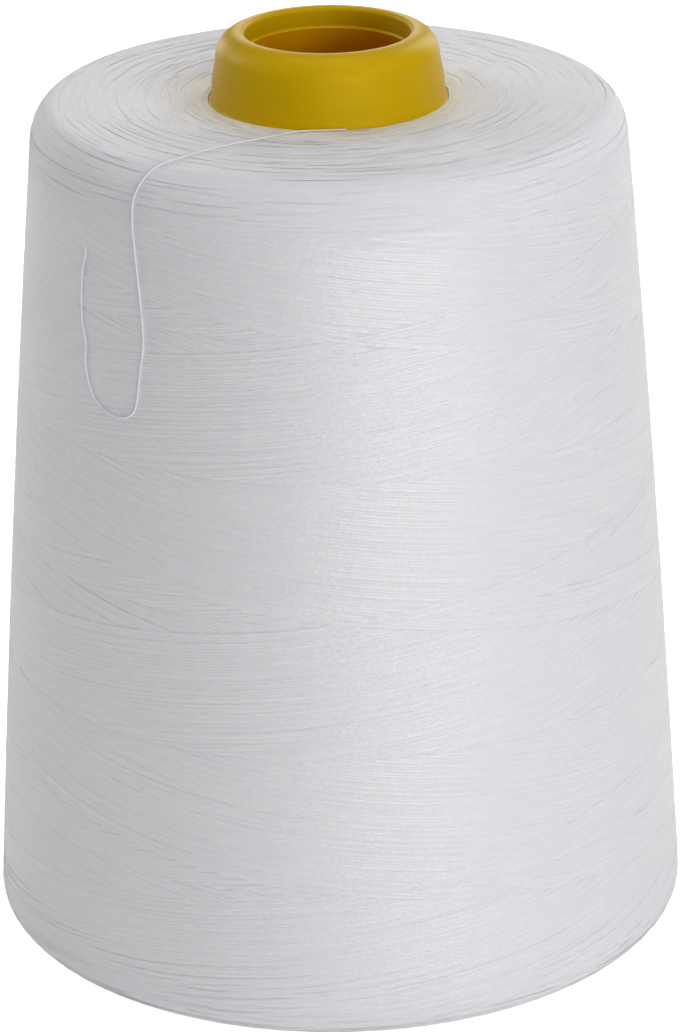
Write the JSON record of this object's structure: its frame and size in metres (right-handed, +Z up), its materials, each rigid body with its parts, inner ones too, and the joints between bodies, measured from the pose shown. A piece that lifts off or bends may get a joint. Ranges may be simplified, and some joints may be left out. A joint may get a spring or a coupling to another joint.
{
  "type": "cone of thread",
  "caption": "Sewing thread cross-wound on a tapered plastic cone with a rounded nose and an open bore, its free end lying down the side.",
  "frame": {"origin": "on the cone's axis, in the plane of the foot ring that it stands on", "axes": "+Z up along the cone's axis, towards the nose; -Y the side where the free end lies"},
  "size_m": [0.128, 0.128, 0.17],
  "materials": {
    "core_plastic": "satin",
    "thread": "matte"
  },
  "bodies": {
    "root": {"core_tube": "core_plastic", "thread_winding": "thread", "loose_end": "thread"}
  },
  "joints": []
}
